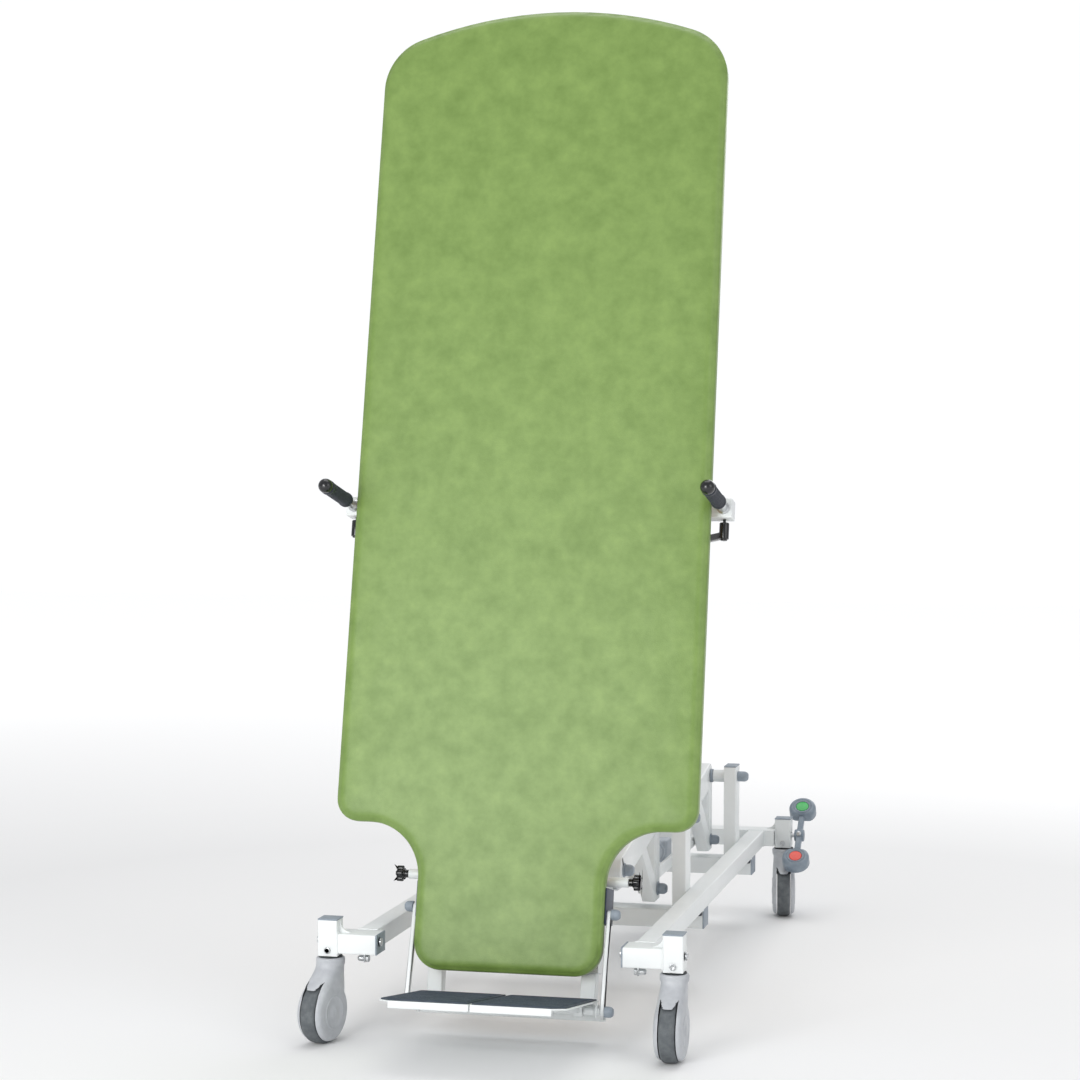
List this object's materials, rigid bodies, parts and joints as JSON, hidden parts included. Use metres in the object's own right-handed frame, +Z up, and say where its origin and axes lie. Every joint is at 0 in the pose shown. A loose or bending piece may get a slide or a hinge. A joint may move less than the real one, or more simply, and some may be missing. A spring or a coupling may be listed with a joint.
{
  "type": "tilting stretcher trolley",
  "caption": "Powered tilt table on braked castors: waisted padded top raised nearly upright, fold-up foot plates, hand grips, bell-crank lift and tilt actuators.",
  "frame": {"origin": "on the floor, under the centre of the whole object's box as stored (top tilted nearly upright)", "axes": "+Z up; +Y towards the head end of the base; +X to the right as seen from the foot end"},
  "size_m": [0.846, 1.904, 2.1171],
  "materials": {
    "powder_coat": "smooth powder coat",
    "upholstery": "mottled grained vinyl",
    "plywood": "sealed birch plywood",
    "cap_plastic": "moulded grey plastic",
    "zinc": "bright zinc plate",
    "black_rubber": "moulded rubber",
    "castor_plastic": "moulded light grey nylon",
    "castor_tread": "grey thermoplastic rubber",
    "actuator_plastic": "textured grey housing",
    "actuator_rod": "drawn tube",
    "shoe_plastic": "dark blue nylon",
    "mat_rubber": "fine ribbed rubber",
    "knob_plastic": "moulded black",
    "grip_rubber": "ribbed grip",
    "pedal_plastic": "moulded blue-grey",
    "green_inlay": "green label disc",
    "red_inlay": "red label disc"
  },
  "bodies": {
    "base": {"side_rails": "powder_coat", "foot_corner_tubes": "powder_coat", "head_cross_tube": "powder_coat", "lower_cross_tubes": "powder_coat", "castor_posts": "powder_coat", "welded_brackets": "powder_coat", "lift_posts": "powder_coat", "frame_end_caps": "cap_plastic", "rail_bumpers": "black_rubber", "lift_pivot_pins": "cap_plastic", "castor_stem_bolts": "zinc", "control_box": "actuator_plastic"},
    "front_arms": {"front_lift_arms": "powder_coat", "front_arm_fittings": "cap_plastic"},
    "rear_arms": {"rear_lift_arms": "powder_coat", "rear_arm_fittings": "cap_plastic"},
    "tie": {"tie_bars": "powder_coat"},
    "lift_actuator": {"lift_actuator_body": "actuator_plastic"},
    "lift_rod": {"lift_actuator_rod": "actuator_rod"},
    "upper_frame": {"upper_frame_tubes": "powder_coat", "upper_frame_fittings": "powder_coat"},
    "tilt_top": {"pad": "upholstery", "base_board": "plywood", "tilting_frame": "powder_coat", "accessory_rails": "zinc", "tilt_frame_caps": "cap_plastic"},
    "tilt_actuator": {"tilt_actuator_body": "actuator_plastic"},
    "tilt_rod": {"tilt_actuator_rod": "actuator_rod"},
    "foot_support": {"foot_frame": "powder_coat", "foot_frame_caps": "cap_plastic", "slide_shoes": "shoe_plastic"},
    "brake_rear": {"brake_rear_shaft": "zinc", "brake_pedal_arms": "pedal_plastic", "brake_pads": "pedal_plastic", "brake_inlay_green": "green_inlay", "brake_inlay_red": "red_inlay"},
    "brake_front": {"brake_front_shafts": "zinc"},
    "brake_link": {"brake_links": "zinc"},
    "foot_plate_left": {"foot_plate_left": "powder_coat", "foot_mat_left": "mat_rubber"},
    "lock_knob_left": {"lock_knob_left": "knob_plastic"},
    "hand_grip_left": {"hand_grip_left": "grip_rubber"},
    "clamp_lever_left": {"clamp_lever_left": "knob_plastic"},
    "foot_plate_right": {"foot_plate_right": "powder_coat", "foot_mat_right": "mat_rubber"},
    "lock_knob_right": {"lock_knob_right": "knob_plastic"},
    "hand_grip_right": {"hand_grip_right": "grip_rubber"},
    "clamp_lever_right": {"clamp_lever_right": "knob_plastic"},
    "castor_front_left": {"castor_fork_front_left": "castor_plastic"},
    "wheel_front_left": {"castor_hub_front_left": "castor_plastic", "castor_tyre_front_left": "castor_tread"},
    "castor_front_right": {"castor_fork_front_right": "castor_plastic"},
    "wheel_front_right": {"castor_hub_front_right": "castor_plastic", "castor_tyre_front_right": "castor_tread"},
    "castor_rear_left": {"castor_fork_rear_left": "castor_plastic"},
    "wheel_rear_left": {"castor_hub_rear_left": "castor_plastic", "castor_tyre_rear_left": "castor_tread"},
    "castor_rear_right": {"castor_fork_rear_right": "castor_plastic"},
    "wheel_rear_right": {"castor_hub_rear_right": "castor_plastic", "castor_tyre_rear_right": "castor_tread"}
  },
  "joints": [
    {"name": "lift", "type": "hinge", "parent": "base", "child": "front_arms", "pos_m": [0, -0.07695, 0.375], "axis": [-1, 0, 0], "range_deg": [0, 68]},
    {"name": "rear_arm_swing", "type": "hinge", "parent": "base", "child": "rear_arms", "pos_m": [0, 0.63305, 0.375], "axis": [-1, 0, 0], "range_deg": [0, 68]},
    {"name": "upper_frame_level", "type": "hinge", "parent": "front_arms", "child": "upper_frame", "pos_m": [0, -0.45395, 0.318], "axis": [-1, 0, 0], "range_deg": [-68, 0]},
    {"name": "tie_swing", "type": "hinge", "parent": "front_arms", "child": "tie", "pos_m": [0, -0.07695, 0.216], "axis": [-1, 0, 0], "range_deg": [-68, 0]},
    {"name": "lift_actuator_swing", "type": "hinge", "parent": "base", "child": "lift_actuator", "pos_m": [0.085, 0.56805, 0.205], "axis": [1, 0, 0], "range_deg": [-5, 1]},
    {"name": "lift_actuator_stroke", "type": "slide", "parent": "lift_actuator", "child": "lift_rod", "axis": [0, -0.9998, 0.0182], "range_m": [0, 0.178]},
    {"name": "tilt", "type": "hinge", "parent": "upper_frame", "child": "tilt_top", "pos_m": [0, -0.52997, 0.45534], "axis": [1, 0, 0], "range_deg": [-77, 8]},
    {"name": "tilt_actuator_swing", "type": "hinge", "parent": "upper_frame", "child": "tilt_actuator", "pos_m": [0, 0.31805, 0.352], "axis": [1, 0, 0], "range_deg": [-0.3191, 0.4836]},
    {"name": "tilt_actuator_stroke", "type": "slide", "parent": "tilt_actuator", "child": "tilt_rod", "axis": [0, -0.9998, 0.0221], "range_m": [-0.0152, 0.1379]},
    {"name": "footplate_height", "type": "slide", "parent": "tilt_top", "child": "foot_support", "axis": [0, -0.225, -0.9744], "range_m": [0, 0.045]},
    {"name": "brake", "type": "hinge", "parent": "base", "child": "brake_rear", "pos_m": [0, 0.85005, 0.2], "axis": [1, 0, 0], "range_deg": [-60, 0]},
    {"name": "brake_front_turn", "type": "hinge", "parent": "base", "child": "brake_front", "pos_m": [0, -0.71395, 0.2], "axis": [1, 0, 0], "range_deg": [-60, 0]},
    {"name": "brake_link_swing", "type": "hinge", "parent": "brake_rear", "child": "brake_link", "pos_m": [0, 0.85655, 0.18874], "axis": [1, 0, 0], "range_deg": [0, 60]},
    {"name": "foot_plate_fold_left", "type": "hinge", "parent": "foot_support", "child": "foot_plate_left", "pos_m": [0, -0.68223, 0.07587], "axis": [-1, 0, 0], "range_deg": [0, 50]},
    {"name": "lock_knob_turn_left", "type": "hinge", "parent": "tilt_top", "child": "lock_knob_left", "pos_m": [-0.24, -0.56303, 0.31211], "axis": [-1, 0, 0], "range_deg": [0, 360]},
    {"name": "hand_grip_slide_left", "type": "slide", "parent": "tilt_top", "child": "hand_grip_left", "axis": [0, 0.225, 0.9744], "range_m": [-0.06, 0.06]},
    {"name": "clamp_lever_turn_left", "type": "hinge", "parent": "hand_grip_left", "child": "clamp_lever_left", "pos_m": [-0.393, -0.38727, 1.05563], "axis": [0, 0.225, 0.9744], "range_deg": [0, 80]},
    {"name": "foot_plate_fold_right", "type": "hinge", "parent": "foot_support", "child": "foot_plate_right", "pos_m": [0, -0.68223, 0.07587], "axis": [-1, 0, 0], "range_deg": [0, 50]},
    {"name": "lock_knob_turn_right", "type": "hinge", "parent": "tilt_top", "child": "lock_knob_right", "pos_m": [0.24, -0.56303, 0.31211], "axis": [1, 0, 0], "range_deg": [0, 360]},
    {"name": "hand_grip_slide_right", "type": "slide", "parent": "tilt_top", "child": "hand_grip_right", "axis": [0, 0.225, 0.9744], "range_m": [-0.06, 0.06]},
    {"name": "clamp_lever_turn_right", "type": "hinge", "parent": "hand_grip_right", "child": "clamp_lever_right", "pos_m": [0.393, -0.38727, 1.05563], "axis": [0, -0.225, -0.9744], "range_deg": [0, 80]},
    {"name": "swivel_front_left", "type": "hinge", "parent": "base", "child": "castor_front_left", "pos_m": [-0.349, -0.71395, 0.17], "axis": [0, 0, 1], "continuous": true},
    {"name": "roll_front_left", "type": "hinge", "parent": "castor_front_left", "child": "wheel_front_left", "pos_m": [-0.3562, -0.74513, 0.0625], "axis": [0.9744, -0.225, 0], "continuous": true},
    {"name": "swivel_front_right", "type": "hinge", "parent": "base", "child": "castor_front_right", "pos_m": [0.349, -0.71395, 0.17], "axis": [0, 0, 1], "continuous": true},
    {"name": "roll_front_right", "type": "hinge", "parent": "castor_front_right", "child": "wheel_front_right", "pos_m": [0.349, -0.74595, 0.0625], "axis": [1, 0, 0], "continuous": true},
    {"name": "swivel_rear_left", "type": "hinge", "parent": "base", "child": "castor_rear_left", "pos_m": [-0.349, 0.85005, 0.17], "axis": [0, 0, 1], "continuous": true},
    {"name": "roll_rear_left", "type": "hinge", "parent": "castor_rear_left", "child": "wheel_rear_left", "pos_m": [-0.34621, 0.81817, 0.0625], "axis": [0.9962, 0.0872, 0], "continuous": true},
    {"name": "swivel_rear_right", "type": "hinge", "parent": "base", "child": "castor_rear_right", "pos_m": [0.349, 0.85005, 0.17], "axis": [0, 0, 1], "continuous": true},
    {"name": "roll_rear_right", "type": "hinge", "parent": "castor_rear_right", "child": "wheel_rear_right", "pos_m": [0.35345, 0.81836, 0.0625], "axis": [0.9903, 0.1392, 0], "continuous": true}
  ],
  "couplings": [
    {"joint": "rear_arm_swing", "follows": "lift", "ratio": 1},
    {"joint": "upper_frame_level", "follows": "lift", "ratio": -1},
    {"joint": "tie_swing", "follows": "lift", "ratio": -1},
    {"joint": "lift_actuator_swing", "follows": "lift", "ratio": -0.063944},
    {"joint": "lift_actuator_stroke", "follows": "lift", "m_per_rad": 0.14812},
    {"joint": "tilt_actuator_swing", "follows": "tilt", "ratio": -0.002385},
    {"joint": "tilt_actuator_stroke", "follows": "tilt", "m_per_rad": -0.10184},
    {"joint": "brake_front_turn", "follows": "brake", "ratio": 1},
    {"joint": "brake_link_swing", "follows": "brake", "ratio": -1}
  ]
}
